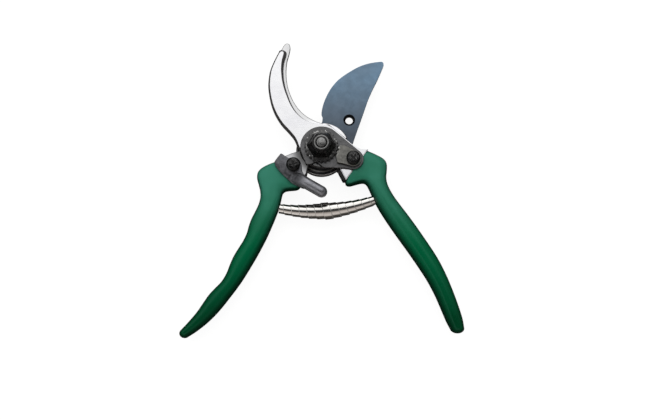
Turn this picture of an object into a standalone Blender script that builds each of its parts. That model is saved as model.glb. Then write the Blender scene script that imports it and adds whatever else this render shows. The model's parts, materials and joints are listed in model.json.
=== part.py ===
"""Bypass pruning shears, lying flat with the jaws open.

The pivot bolt stands on +Z through the origin, and the underside of its head is at z = 0.
The hooked jaw and the right handle are one forging. The left handle is a second forging, which
carries the blade under the hook. Closing turns the left handle and the blade about +Z.
Sizes below are in millimetres; meshes are built in metres.
"""
import math

import bmesh
import bpy
from mathutils import Vector

MM = 0.001

# ---- clearances -------------------------------------------------------------------------------
GAP = 0.3              # between faces that meet
RUNNING = 0.3          # radial, between a pin and its hole
SWEEP = 0.8            # between the fixed hub and the step that turns round it
PAST = 1.0             # how far a drill runs past the faces it opens
SHARP_ANGLE = 32.0     # edges that bend more than this many degrees stay sharp

# ---- overall sizes ----------------------------------------------------------------------------
JAW_LENGTH = 70.0      # pivot to the hook's tip, along Y
HANDLE_LENGTH = 119.0  # pivot to the lower end of the handles, along Y
JAW_ROOT = 22.0        # the jaws stretch beyond this Y only
HANDLE_ROOT = -46.0    # the handles stretch beyond this Y only
JAW_DRAWN = 70.0       # the jaw length that the outlines below are drawn for
CURVE_STEPS = 3        # straight pieces between two outline points
HANDLE_DRAWN = 119.0   # the handle length that the outlines below are drawn for

# ---- thickness of each layer of the joint, from the bottom up ------------------------------------
BOLT_HEAD = 2.6
HANDLE_HEAD = 4.8
BLADE_THICK = 2.8
HOOK_HEAD = 4.8
HOOK_FLANGE = 2.2      # the thin ground strip along the inside of the hook
OUTER_SLOPE = 1.2      # width of the hook's sloped outer shoulder
INNER_SLOPE = 1.9      # width of its inner shoulder at the tip, which narrows towards the hub
SHOULDER = 0.35        # share of a shoulder's width that its last, flatter part takes
SHOULDER_DROP = 0.7    # height of that part
RIM = 0.4              # width of the chamfer elsewhere
PLATE_THICK = 1.6
NUT_FLANGE = 2.1
NUT_HEIGHT = 6.6       # hexagon above its flange
NUT_COLLAR = 1.3
SCREW_HEAD = 2.5
WASHER = 0.5

Z_HANDLE = BOLT_HEAD + GAP
Z_HANDLE_TOP = Z_HANDLE + HANDLE_HEAD
Z_BLADE = Z_HANDLE_TOP + GAP
Z_BLADE_TOP = Z_BLADE + BLADE_THICK
Z_HOOK = Z_BLADE_TOP + GAP
Z_METAL_TOP = Z_HOOK + HOOK_HEAD
Z_PLATE = Z_METAL_TOP + GAP
Z_PLATE_TOP = Z_PLATE + PLATE_THICK
Z_NUT = Z_PLATE_TOP + GAP
Z_NUT_FLANGE = Z_NUT + NUT_FLANGE
Z_NUT_TOP = Z_NUT_FLANGE + NUT_HEIGHT
Z_COLLAR_TOP = Z_NUT_TOP + NUT_COLLAR

# ---- pivot ----------------------------------------------------------------------------------
BOLT_R = 4.0
BOLT_HEAD_R = 8.6
BOLT_END_R = 3.0       # the turned-down end that shows inside the nut's collar
BOLT_PROUD = 0.7       # the bolt's end above the collar
BUSH_WALL = 1.4
BUSH_R = BOLT_R + RUNNING + BUSH_WALL
HUB_BORE = BUSH_R + RUNNING
HUB_R = 12.8           # hook forging round the pivot, on the side the step sweeps
STEP_R = HUB_R + SWEEP
HUB_DISC_R = 17.0      # hook forging's thin disc over the blade's heel
HUB_DISC_CENTRE = (0.7, -0.2)
BLADE_HUB_R = 15.2
BLADE_RELIEF_R = 13.2  # the blade's hub beside the step
HANDLE_DISC_R = 16.0
TANG_R = HANDLE_DISC_R + 0.6

# ---- nut, toothed flange and lock segment ---------------------------------------------------------
NUT_FLATS = 16.0       # across the flats at the flange
NUT_TOP_FLATS = 11.4   # the flanks lean in towards the collar
NUT_TEETH = 24
TOOTH_MEAN_R = 10.15
TOOTH_DEPTH = 0.42
TOOTH_GAP = 0.5
COLLAR_R = 4.6
COLLAR_BORE = BOLT_END_R + 0.45

# ---- catch plate, segment screw, latch -------------------------------------------------------------
LOBE_R = 13.2
SEGMENT_SCREW = (19.8, -8.0)
LUG_TOP = (11.3, -12.9) # where the hook forging's lug leaves its hub
PLATE_END_R = 6.5
SEGMENT_END_R = 5.1
SEGMENT_THICK = 1.9
LATCH_PIVOT = (-17.4, -11.8)
SCREW_R = 2.1
SCREW_HEAD_R = 4.4
SCREW_DEPTH = 8.5      # shank below the forging's top face
CROSS_WIDTH = 1.3
CROSS_SPAN = 5.2
CROSS_DEPTH = 1.4
SCREW_DOME = [(1.0, 0.0), (1.0, 0.55), (0.93, 0.75), (0.76, 0.91), (0.45, 1.0)]  # shares of head size
ROD_HALF = 3.6         # half the width of the latch's finger rod
ROD_RISE = 4.6         # its height above the plate
ROD_EDGE = 0.6         # height of its straight sides
ROD_FOOT = 0.8         # width of its underside, as a share of its width
ROD_SIDES = 12
ROD_START = (3.4, -9.2)  # from the latch's screw
ROD_END = (17.4, -17.3)
# Stations along the rod: distance, and shares of its full width and height. The first ones stand
# in the plate; the others hang free beyond it.
ROD_IN_PLATE = [(-1.2, 0.45, 0.10), (0.0, 0.80, 0.30), (1.8, 1.05, 0.62), (4.0, 1.10, 0.88),
                (5.4, 1.06, 0.95)]
ROD_FREE = [(5.6, 1.05, 0.96), (10.0, 1.0, 1.0)]
ROD_CAP_ANGLES = (25.8, 48.7, 68.8, 81.4)

# ---- blade ----------------------------------------------------------------------------------
BLADE_BEVEL = 4.0
BLADE_EDGE = 0.3       # thickness left at the cutting edge
GRIND_IN = 20          # edge points over which the bevel widens from the hub
GRIND_OUT = 6          # and narrows at the tip
BLADE_HOLE = (17.6, 19.4)
BLADE_HOLE_R = 2.4
BLADE_SINK_R = 3.5
RIVET_R = 1.8
RIVET_PITCH_R = 9.6
RIVET_ANGLES = {"blade_rivet_front": 115.0, "blade_rivet_rear": 265.0}

# ---- grips ----------------------------------------------------------------------------------
GRIP_WALL = 1.7
GRIP_MID_Z = 9.3
GRIP_HALF_FRONT = Z_METAL_TOP - GRIP_MID_Z
GRIP_HALF_MIDDLE = 8.7
GRIP_HALF_END = 6.0
GRIP_RISE = (0.20, 0.50) # shares of a grip's length between which it thickens
GRIP_SIDES = 24
GRIP_CAP = 3.2
TANG_ROOT = 3.0        # how far a tang starts inside its forging
TANG_SHORT = 4         # sections at the end of a grip that the tang doesn't reach
CAP_ANGLES = (25, 45, 62, 78)
OVAL_POWER = 2.4       # squareness of a grip's section; an ellipse has 2
MOUTH_POWER = 1.6      # added at the mouth, and gone a fifth of the way along

# ---- spring and its studs ----------------------------------------------------------------------
SPRING_LEFT = (-25.6, -37.8)
SPRING_MIDDLE = (3.2, -39.2)
SPRING_RIGHT = (32.2, -32.6)
SPRING_END_R = 2.9
SPRING_MID_R = 5.4
SPRING_STEPS = 6       # telescoping turns on each side of the middle
STUD_R = 1.4
STUD_REACH = 5.0       # into the spring
STUD_ROOT = 4.4        # into the handle
BUFFER_THICK = 1.5


# =================================================================================================
# helpers
# =================================================================================================
def jaw(points):
    """Stretches jaw points beyond the root to the length asked for."""
    k = (JAW_LENGTH - JAW_ROOT) / (JAW_DRAWN - JAW_ROOT)
    return [(x, y if y < JAW_ROOT else JAW_ROOT + (y - JAW_ROOT) * k) for x, y in points]


def handle(points):
    """Stretches handle points beyond the root to the length asked for."""
    k = (HANDLE_LENGTH + HANDLE_ROOT) / (HANDLE_DRAWN + HANDLE_ROOT)
    return [(x, y if y > HANDLE_ROOT else HANDLE_ROOT + (y - HANDLE_ROOT) * k) for x, y in points]


def curve(points, steps=CURVE_STEPS):
    """Points along a smooth curve through the ones given."""
    ends = [points[0]] + list(points) + [points[-1]]
    out = []
    for a, b, c, d in zip(ends, ends[1:], ends[2:], ends[3:]):
        for i in range(steps):
            t = i / steps
            out.append(tuple(
                0.5 * (2 * q + (r - p) * t + (2 * p - 5 * q + 4 * r - s) * t * t
                       + (3 * q - p - 3 * r + s) * t ** 3)
                for p, q, r, s in zip(a, b, c, d)))
    return out + [tuple(points[-1])]


def polar(radius, degrees, centre=(0.0, 0.0)):
    a = math.radians(degrees)
    return centre[0] + radius * math.cos(a), centre[1] + radius * math.sin(a)


def arc(centre, radius, start, end, steps):
    return [polar(radius, start + (end - start) * i / steps, centre) for i in range(steps + 1)]


def offset(outline, distance):
    """Moves each point of a closed outline inwards, by one distance or by one for each point."""
    each = distance if isinstance(distance, list) else [distance] * len(outline)
    area = sum(a[0] * b[1] - b[0] * a[1] for a, b in zip(outline, outline[1:] + outline[:1]))
    side = 1.0 if area > 0 else -1.0
    out = []
    for a, b, c, move in zip(outline[-1:] + outline[:-1], outline, outline[1:] + outline[:1], each):
        u = (Vector(b) - Vector(a)).normalized()
        v = (Vector(c) - Vector(b)).normalized()
        n = Vector((-(u.y + v.y), u.x + v.x)) * side
        n.normalize()
        miter = max(0.5, n.dot(Vector((-u.y, u.x)) * side))
        out.append(tuple(Vector(b) + n * move / miter))
    return out


def level(outline, z):
    return [(x, y, z) for x, y in outline]


def mesh_of(name, rings, loop=False):
    """Skins rings of equal length; the ends are closed unless the rings form a loop."""
    bm = bmesh.new()
    rows = [[bm.verts.new([v * MM for v in p]) for p in ring] for ring in rings]
    pairs = list(zip(rows, rows[1:]))
    if loop:
        pairs.append((rows[-1], rows[0]))
    else:
        bm.faces.new(rows[0])
        bm.faces.new(rows[-1])
    for a, b in pairs:
        for i in range(len(a)):
            j = (i + 1) % len(a)
            bm.faces.new((a[i], a[j], b[j], b[i]))
    bmesh.ops.recalc_face_normals(bm, faces=bm.faces)
    mesh = bpy.data.meshes.new(name)
    bm.to_mesh(mesh)
    bm.free()
    return mesh


def add(name, mesh):
    obj = bpy.data.objects.new(name, mesh)
    bpy.context.scene.collection.objects.link(obj)
    return obj


def skin(name, rings, loop=False):
    return add(name, mesh_of(name, rings, loop))


def slab(name, outline, low, high, chamfer=0.0):
    """A flat plate, with both rims chamfered if asked."""
    if not chamfer:
        return skin(name, [level(outline, low), level(outline, high)])
    small = offset(outline, chamfer)
    return skin(name, [level(small, low), level(outline, low + chamfer),
                       level(outline, high - chamfer), level(small, high)])


def turned(name, profile, sides=40, centre=(0.0, 0.0), loop=False):
    """A body turned about +Z from (radius, height) pairs."""
    rings = []
    for radius, z in profile:
        rings.append([polar(radius, 360.0 * i / sides, centre) + (z,) for i in range(sides)])
    return skin(name, rings, loop)


def pin_between(name, start, end, radius, sides=20):
    """A round bar between two points."""
    a, b = Vector(start), Vector(end)
    along = (b - a).normalized()
    across = along.cross(Vector((0, 0, 1))).normalized()
    up = across.cross(along)
    rings = []
    for p in (a, b):
        rings.append([tuple(p + radius * (math.cos(w) * across + math.sin(w) * up))
                      for w in (2 * math.pi * i / sides for i in range(sides))])
    return skin(name, rings)


def combine(obj, tool, operation):
    """Joins or cuts obj with tool, and uses the tool up."""
    mod = obj.modifiers.new(operation, "BOOLEAN")
    mod.operation = operation
    mod.solver = "EXACT"
    mod.object = tool
    bpy.context.view_layer.update()
    depsgraph = bpy.context.evaluated_depsgraph_get()
    mesh = bpy.data.meshes.new_from_object(obj.evaluated_get(depsgraph))
    mesh.name = obj.name
    obj.modifiers.clear()
    obj.data = mesh
    bpy.data.objects.remove(tool)
    return obj


def cut(obj, tool):
    return combine(obj, tool, "DIFFERENCE")


def join(obj, tool):
    return combine(obj, tool, "UNION")


def bore(obj, radius, low, high, centre=(0.0, 0.0), sides=32):
    return cut(obj, turned("bore", [(radius, low), (radius, high)], sides, centre))


def finish(obj, colour, roughness, metallic):
    """Gives a piece its own material and smooth shading between its sharp edges."""
    mat = bpy.data.materials.new(obj.name)
    mat.use_nodes = True
    shader = mat.node_tree.nodes["Principled BSDF"]
    shader.inputs["Base Color"].default_value = colour + (1.0,)
    shader.inputs["Roughness"].default_value = roughness
    shader.inputs["Metallic"].default_value = metallic
    obj.data.materials.clear()
    obj.data.materials.append(mat)
    obj.data.shade_smooth()
    obj.data.set_sharp_from_angle(angle=math.radians(SHARP_ANGLE))
    return obj


def hold(obj, empty):
    """Parents a piece to a pivot empty, and moves its origin onto that pivot."""
    shift = empty.location
    for v in obj.data.vertices:
        v.co -= shift
    obj.parent = empty
    return obj


POLISHED = ((0.78, 0.78, 0.79), 0.22, 1.0)
COATED = ((0.16, 0.21, 0.27), 0.35, 0.8)
GREEN = ((0.004, 0.12, 0.055), 0.25, 0.0)
GUNMETAL = ((0.10, 0.10, 0.105), 0.4, 0.9)
BLACK = ((0.012, 0.012, 0.012), 0.3, 0.6)
BRONZE = ((0.45, 0.28, 0.12), 0.4, 1.0)
RUBBER = ((0.02, 0.02, 0.02), 0.8, 0.0)
STEEL = ((0.60, 0.58, 0.54), 0.3, 1.0)

# =================================================================================================
# outlines, seen from above
# =================================================================================================
HOOK_OUTER = jaw([(-14.5, 1.7), (-16.4, 6.2), (-20.3, 11.1), (-24.2, 15.4), (-27.8, 21.0), (-30.0, 25.9),
                  (-31.5, 30.8), (-32.6, 36.6), (-33.0, 41.5), (-32.7, 46.4), (-31.9, 51.2),
                  (-30.0, 56.4), (-27.4, 62.0)])
HOOK_FACE_TIP = jaw([(-26.3, 63.5), (-24.8, 63.9), (-23.7, 62.6)])
HOOK_FACE_INNER = jaw([(-24.4, 59.5), (-25.0, 56.5), (-25.3, 52.0), (-25.1, 48.2), (-24.6, 44.3),
                       (-23.5, 39.4), (-21.7, 34.1), (-20.0, 29.7), (-17.6, 25.3), (-14.9, 21.9),
                       (-11.5, 19.0), (-7.6, 17.0), (-3.7, 16.0), (0.0, 15.4), (3.6, 14.8), (6.0, 13.8),
                       (8.4, 12.1), (11.7, 9.3), (14.5, 6.6), (17.3, 4.1)])
HOOK_POINT = jaw([(-25.6, 65.7), (-23.9, 68.8), (-22.2, 70.0), (-20.6, 69.4), (-20.0, 67.6)])
HOOK_FLANGE_INNER = jaw([(-20.0, 65.6), (-20.8, 61.7), (-21.8, 58.1), (-22.3, 54.0), (-22.4, 49.3),
                         (-22.1, 45.2), (-21.3, 40.4), (-19.8, 35.7), (-17.9, 31.3), (-15.4, 27.2),
                         (-12.5, 23.8), (-9.6, 21.3), (-6.2, 19.2), (-2.8, 17.5), (0.4, 16.5)])
BLADE_EDGE_LINE = jaw([(0.5, 18.3), (0.7, 21.0), (0.1, 22.4), (0.1, 24.5), (0.5, 27.0), (1.4, 30.5),
                       (2.9, 34.4), (4.8, 38.3), (7.0, 41.7), (10.0, 45.4), (13.9, 48.7), (18.3, 51.7),
                       (22.6, 54.3), (26.9, 56.2), (31.3, 57.5), (35.6, 58.2), (38.6, 58.5)])
BLADE_TIP = jaw([(39.7, 57.9), (39.9, 56.6)])
BLADE_SPINE = jaw([(39.6, 55.2), (35.9, 46.5), (32.9, 40.4), (29.9, 33.5), (27.1, 25.3), (24.2, 17.0),
                   (21.6, 9.6), (19.9, 4.4)])

# A grip's sections, each from its outer side to its inner side. The first pair is the mouth.
RIGHT_GRIP = list(zip(
    handle([(29.4, -1.2), (34.7, -3.6), (39.2, -6.2), (41.1, -9.2), (41.2, -13.5), (40.8, -18.0),
            (41.6, -22.6), (44.2, -28.2), (47.9, -33.9), (52.9, -40.7), (58.3, -48.3), (65.2, -58.7),
            (71.5, -68.8), (76.5, -79.0), (80.5, -89.2), (83.6, -98.3), (85.9, -106.2), (86.7, -111.6)]),
    handle([(15.5, -20.8), (15.0, -22.3), (17.0, -23.2), (20.3, -22.4), (23.6, -21.4), (26.4, -21.3),
            (28.5, -23.3), (31.2, -29.3), (34.4, -36.2), (39.1, -44.2), (45.4, -53.8), (52.9, -64.6),
            (59.4, -74.4), (64.5, -82.6), (69.0, -91.4), (72.8, -100.6), (75.7, -107.8), (78.0, -112.4)])))
LEFT_GRIP = list(zip(
    handle([(-27.8, -7.8), (-32.9, -9.7), (-37.4, -12.1), (-39.9, -14.8), (-40.4, -18.5), (-39.4, -22.5),
            (-38.4, -26.6), (-38.2, -30.8), (-39.3, -35.3), (-41.4, -40.0), (-43.6, -44.5),
            (-45.2, -49.1), (-46.3, -53.5), (-48.4, -58.2), (-51.3, -63.0), (-54.2, -68.0),
            (-56.4, -73.2), (-58.4, -78.6), (-61.3, -83.6), (-65.2, -87.7), (-68.9, -91.8),
            (-72.2, -96.7), (-76.0, -102.4), (-80.8, -108.2), (-85.0, -112.8)]),
    handle([(-12.9, -22.8), (-13.5, -24.6), (-15.6, -25.7), (-19.2, -26.0), (-22.2, -26.6), (-23.9, -28.2),
            (-24.7, -31.3), (-25.4, -34.7), (-26.4, -38.5), (-28.4, -44.0), (-30.7, -49.7),
            (-32.9, -54.9), (-35.2, -59.7), (-37.6, -64.4), (-40.1, -69.1), (-42.8, -73.8),
            (-45.6, -78.6), (-48.6, -83.4), (-51.9, -88.2), (-55.6, -93.2), (-59.7, -98.6),
            (-64.2, -103.9), (-69.4, -109.0), (-75.4, -113.8), (-80.6, -117.2)])))

LUG_FRONT = [(20.5, 1.5), (25.0, -0.7)]
BLADE_CORNER = [(18.7, 2.0), (16.2, 0.5), (15.3, -1.2)]
STEP_FOOT = [(-9.3, -16.3), (-11.3, -20.6)]
STEP_FRONT = [(-21.2, -4.9), (-18.5, -3.7), (-15.4, -2.7)]
PLATE_TAIL = [(-12.6, -3.6), (-11.0, -7.8), (-9.6, -11.0), (-8.9, -11.4), (-6.7, -11.4), (-4.2, -10.0),
              (-2.8, -9.8), (-1.4, -11.1), (0.9, -13.0), (2.3, -13.5), (14.0, -13.6)]
SEGMENT_TOP = [(14.2, 0.4), (16.2, -0.5), (20.4, -2.7)]
SEGMENT_FOOT = [(14.5, -11.6), (9.8, -10.6)]
# The latch, from its screw: its free side and nose, the corner under the rod, and its inner side.
LATCH_NOSE = [(-8.0, 7.4), (-11.3, 3.0), (-11.7, 1.6), (-11.0, -0.6), (-8.3, -4.3), (-4.1, -8.5),
              (-1.0, -11.4), (3.2, -13.7), (6.6, -15.0)]
LATCH_CORNER = [(9.0, -13.0), (10.2, -9.3), (7.2, -6.4)]
LATCH_INNER = [(5.2, -3.6), (5.0, 0.4), (3.4, 3.6), (0.4, 5.0), (-3.2, 4.7), (-6.9, 7.2)]


def mouth_line(grip, back):
    """The forging's shoulder: the grip's mouth, moved back towards the pivot."""
    outer, inner = Vector(grip[0][0]), Vector(grip[0][1])
    along = (inner - outer).normalized()
    normal = Vector((-along.y, along.x))
    if normal.dot(-outer) < 0:
        normal.negate()
    return tuple(outer + normal * back), tuple(inner + normal * back)


# =================================================================================================
# grips and the tangs inside them
# =================================================================================================
def grip_half(t):
    """Half the thickness of a grip, t of the way along it. The front stays low, under the latch."""
    start, full = GRIP_RISE
    if t < full:
        s = max(0.0, (t - start) / (full - start))
        s = s * s * (3 - 2 * s)
        return GRIP_HALF_FRONT + (GRIP_HALF_MIDDLE - GRIP_HALF_FRONT) * s
    s = (t - full) / (1 - full)
    return GRIP_HALF_MIDDLE + (GRIP_HALF_END - GRIP_HALF_MIDDLE) * s * s


def grip_ring(outer, inner, half, inset, power):
    """One section: a rounded oval standing on the line from the outer to the inner side."""
    o, i = Vector(outer), Vector(inner)
    centre = (o + i) / 2
    along = (i - o).normalized()
    wide = (i - o).length / 2 - inset
    tall = half - inset
    ring = []
    for k in range(GRIP_SIDES):
        a = 2 * math.pi * k / GRIP_SIDES
        u = math.copysign(abs(math.cos(a)) ** (2 / power), math.cos(a))
        w = math.copysign(abs(math.sin(a)) ** (2 / power), math.sin(a))
        p = centre + along * wide * u
        ring.append((p.x, p.y, GRIP_MID_Z + tall * w))
    return ring


def grip_rings(grip, inset, count):
    rings = []
    for k in range(count):
        t = k / (len(grip) - 1)
        power = OVAL_POWER + MOUTH_POWER * max(0.0, 1 - 5 * t)
        rings.append(grip_ring(*grip[k], grip_half(t), inset, power))
    return rings


def rounded_end(rings, depth):
    """Rings that close the last one with a round end."""
    last = [Vector(p) for p in rings[-1]]
    before = [Vector(p) for p in rings[-2]]
    centre = sum(last, Vector()) / len(last)
    along = (centre - sum(before, Vector()) / len(before)).normalized()
    out = []
    for degrees in CAP_ANGLES:
        a = math.radians(degrees)
        out.append([tuple(centre + along * depth * math.sin(a) + (p - centre) * math.cos(a))
                    for p in last])
    return out


def make_grip(name, grip):
    outside = grip_rings(grip, 0.0, len(grip))
    outside += rounded_end(outside, GRIP_CAP)
    inside = grip_rings(grip, GRIP_WALL, len(grip) - TANG_SHORT + 1)
    return skin(name, outside[::-1] + inside)


def make_tang(grip):
    """The bar inside a grip. It starts before the mouth, inside the forging."""
    rings = grip_rings(grip, GRIP_WALL + GAP, len(grip) - TANG_SHORT)
    root = mouth_line(grip, TANG_ROOT)[0]
    shift = (Vector(root) - Vector(grip[0][0])).to_3d()
    first = [tuple(Vector(p) + shift) for p in rings[0]]
    return skin("tang", [first] + rings)


# =================================================================================================
# hook side: the body that stays still
# =================================================================================================
def hook_forging():
    mouth = mouth_line(RIGHT_GRIP, GAP)
    face = curve(HOOK_OUTER + HOOK_FACE_TIP + HOOK_FACE_INNER)
    outer = CURVE_STEPS * len(HOOK_OUTER)
    tip = outer + CURVE_STEPS * len(HOOK_FACE_TIP)
    slope = [OUTER_SLOPE] * outer
    for k in range(outer, len(face)):
        along = max(0.0, (k - tip) / (len(face) - tip))
        slope.append(INNER_SLOPE + (RIM - INNER_SLOPE) * along ** 0.6)
    face += LUG_FRONT + [mouth[0], mouth[1], LUG_TOP, (8.3, -11.9), polar(HUB_R, 297)]
    face += arc((0, 0), HUB_R, 290, 202, 12)
    slope += [RIM] * (len(face) - len(slope))
    foot = offset(face, [RIM - s for s in slope])
    shoulder = offset(face, [RIM - SHOULDER * s for s in slope])
    body = skin("hook_body", [
        level(offset(foot, RIM), Z_HOOK), level(foot, Z_HOOK + RIM), level(foot, Z_HOOK + HOOK_FLANGE),
        level(shoulder, Z_METAL_TOP - SHOULDER_DROP), level(offset(face, RIM), Z_METAL_TOP)])

    strip = curve(HOOK_OUTER + HOOK_POINT + HOOK_FLANGE_INNER)
    strip = offset(strip, [RIM - OUTER_SLOPE if k < outer else 0.0 for k in range(len(strip))])
    strip += arc(HUB_DISC_CENTRE, HUB_DISC_R, 87, 25, 10) + [(9.0, 2.0), (-6.0, 0.0)]
    join(body, slab("strip", strip, Z_HOOK + 0.01, Z_HOOK + HOOK_FLANGE, 0.35))

    thick = arc((0, 0), TANG_R, -54, -1, 10)
    thick += [(x, y - RIM) for x, y in LUG_FRONT] + [mouth[0], mouth[1], LUG_TOP]
    join(body, slab("thick", thick, Z_HANDLE, Z_METAL_TOP - 0.6))
    join(body, make_tang(RIGHT_GRIP))

    bore(body, HUB_BORE, Z_HOOK - PAST, Z_METAL_TOP + PAST)
    bore(body, SCREW_R + RUNNING, Z_METAL_TOP - SCREW_DEPTH, Z_METAL_TOP + PAST, SEGMENT_SCREW, 20)
    return finish(body, *POLISHED)


def spring_axis(t):
    """A point on the spring's bowed centre line, t from 0 at the left to 1 at the right."""
    a, m, b = Vector(SPRING_LEFT), Vector(SPRING_MIDDLE), Vector(SPRING_RIGHT)
    control = 2 * m - (a + b) / 2
    p = a * (1 - t) ** 2 + control * 2 * t * (1 - t) + b * t ** 2
    return Vector((p.x, p.y, GRIP_MID_Z))


def spring_ring(t, radius, sides=20):
    along = (spring_axis(min(1.0, t + 0.01)) - spring_axis(max(0.0, t - 0.01))).normalized()
    across = along.cross(Vector((0, 0, 1)))
    up = Vector((0, 0, 1))
    p = spring_axis(t)
    return [tuple(p + radius * (math.cos(w) * across + math.sin(w) * up))
            for w in (2 * math.pi * i / sides for i in range(sides))]


def make_spring():
    """The outer shape of a double volute spring: turns that telescope into a wider middle one."""
    chord = (Vector(SPRING_RIGHT) - Vector(SPRING_LEFT)).length
    turns = 2 * SPRING_STEPS + 1
    socket = (STUD_REACH + 1.0) / chord
    hole = STUD_R + 0.5
    rings = [spring_ring(socket, hole), spring_ring(0.0, hole)]
    for k in range(turns):
        share = 1 - abs(k - SPRING_STEPS) / SPRING_STEPS
        radius = SPRING_END_R + (SPRING_MID_R - SPRING_END_R) * share ** 0.8
        rings.append(spring_ring(k / turns + 0.001, radius))
        rings.append(spring_ring((k + 1) / turns - 0.001, radius))
    rings += [spring_ring(1.0, hole), spring_ring(1.0 - socket, hole)]
    return finish(skin("volute_spring", rings), *STEEL)


def spring_end(t):
    """Where a stud starts and the way it points, at either end of the spring."""
    inwards = spring_axis(abs(t - 0.02)) - spring_axis(t)
    return spring_axis(t), inwards.normalized()


def make_stud(name, t):
    start, inwards = spring_end(t)
    return finish(pin_between(name, start - inwards * STUD_ROOT, start + inwards * STUD_REACH, STUD_R),
                  *STEEL)


def drill_for_stud(obj, t):
    start, inwards = spring_end(t)
    return cut(obj, pin_between("drill", start - inwards * (STUD_ROOT + GAP), start + inwards * 4,
                                STUD_R + RUNNING))


def make_catch_plate():
    dx, dy = SEGMENT_SCREW
    between = math.hypot(dx, dy)
    tangent = math.degrees(math.atan2(dy, dx) + math.acos((LOBE_R - PLATE_END_R) / between))
    outline = arc((0, 0), LOBE_R, tangent, 188, 24)
    outline += PLATE_TAIL
    outline += arc(SEGMENT_SCREW, PLATE_END_R, -112, tangent, 20)
    plate = slab("catch_plate", outline, Z_PLATE, Z_PLATE_TOP, 0.25)
    bore(plate, BOLT_R + RUNNING, Z_PLATE - PAST, Z_PLATE_TOP + PAST)
    bore(plate, SCREW_R + RUNNING, Z_PLATE - PAST, Z_PLATE_TOP + PAST, SEGMENT_SCREW, 20)
    return finish(plate, *GUNMETAL)


def tooth_radius(degrees):
    return TOOTH_MEAN_R + TOOTH_DEPTH * math.cos(math.radians(NUT_TEETH * degrees))


def make_lock_segment():
    """The keeper whose teeth hold the nut's flange."""
    outline = [polar(tooth_radius(-34 + 36 * i / 24) + TOOTH_GAP, -34 + 36 * i / 24) for i in range(25)]
    outline += SEGMENT_TOP
    outline += arc(SEGMENT_SCREW, SEGMENT_END_R, 74, -100, 20)
    outline += SEGMENT_FOOT
    segment = slab("lock_segment", outline, Z_NUT, Z_NUT + SEGMENT_THICK, 0.2)
    bore(segment, SCREW_R + RUNNING, Z_NUT - PAST, Z_NUT + SEGMENT_THICK + PAST, SEGMENT_SCREW, 20)
    return finish(segment, *GUNMETAL)


def make_nut():
    rim = [polar(tooth_radius(360 * i / (NUT_TEETH * 4)), 360 * i / (NUT_TEETH * 4))
           for i in range(NUT_TEETH * 4)]
    nut = slab("pivot_nut", rim, Z_NUT, Z_NUT_FLANGE, 0.2)
    corner, top_corner = (f / 2 / math.cos(math.radians(30)) for f in (NUT_FLATS, NUT_TOP_FLATS))
    frustum = skin("frustum", [[polar(r, 60 * i) + (z,) for i in range(6)]
                               for r, z in ((corner, Z_NUT_FLANGE - 0.5), (corner, Z_NUT_FLANGE + 0.4),
                                            (top_corner, Z_NUT_TOP))])
    crown = turned("crown", [(corner + 2, Z_NUT_FLANGE - 1), (corner - 0.35, Z_NUT_FLANGE + 0.4),
                             (top_corner - 0.7, Z_NUT_TOP + 0.1)], 36)
    combine(frustum, crown, "INTERSECT")
    join(nut, frustum)
    join(nut, turned("collar", [(COLLAR_R + 0.3, Z_NUT_TOP - 0.5), (COLLAR_R, Z_COLLAR_TOP - 0.4),
                                (COLLAR_R - 0.4, Z_COLLAR_TOP)], 36))
    bore(nut, BOLT_R + RUNNING, Z_NUT - PAST, Z_NUT_TOP - 0.6)
    bore(nut, COLLAR_BORE, Z_NUT - PAST, Z_COLLAR_TOP + PAST)
    return finish(nut, *BLACK)


def make_bolt():
    top = Z_COLLAR_TOP + BOLT_PROUD
    return finish(turned("pivot_bolt", [
        (BOLT_HEAD_R - 0.6, 0.0), (BOLT_HEAD_R, 0.6), (BOLT_HEAD_R, BOLT_HEAD), (BOLT_R, BOLT_HEAD),
        (BOLT_R, Z_NUT_TOP - 1.0), (BOLT_END_R, Z_NUT_TOP - 0.9), (BOLT_END_R, top - 0.8),
        (BOLT_END_R - 0.5, top - 0.2), (BOLT_END_R - 1.3, top)], 40), *BLACK)


def make_bushing():
    inner, outer = BOLT_R + RUNNING, BUSH_R
    return finish(turned("pivot_bushing", [(inner, Z_HANDLE), (outer, Z_HANDLE), (outer, Z_METAL_TOP),
                                           (inner, Z_METAL_TOP)], 32, loop=True), *BRONZE)


def make_screw(name, centre, seat, cross_angle):
    """A Phillips screw with a low domed head."""
    shank = [(SCREW_R, Z_METAL_TOP - SCREW_DEPTH + PAST), (SCREW_R, seat)]
    head = [(SCREW_HEAD_R * wide, seat + SCREW_HEAD * high) for wide, high in SCREW_DOME]
    screw = turned(name, shank + head, 32, centre)
    top = seat + SCREW_HEAD
    for quarter in (0, 90):
        a = math.radians(cross_angle + quarter)
        u = Vector((math.cos(a), math.sin(a)))
        v = Vector((-u.y, u.x))
        middle = Vector(centre)
        slot = [tuple(middle + u * CROSS_SPAN / 2 * p + v * CROSS_WIDTH / 2 * q)
                for p, q in ((-1, -1), (1, -1), (1, 1), (-1, 1))]
        cut(screw, slab("slot", slot, top - CROSS_DEPTH, top + PAST))
    return finish(screw, *BLACK)


def make_buffer():
    """The rubber stop on the lug, which the other handle meets as the jaws close."""
    lug_top, lug_low = Vector(LUG_TOP), Vector(mouth_line(RIGHT_GRIP, GAP)[1])
    along = (lug_low - lug_top).normalized()
    outwards = Vector((along.y, -along.x))
    near, far = GAP, GAP + BUFFER_THICK
    outline = [tuple(lug_top + along * 0.6 + outwards * near), tuple(lug_low + outwards * near),
               tuple(lug_low + outwards * far - along * 0.4), tuple(lug_top + along * 1.6 + outwards * far)]
    return finish(slab("rubber_buffer", outline, Z_HANDLE_TOP + GAP, Z_METAL_TOP - 0.4, 0.3), *RUBBER)


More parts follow.
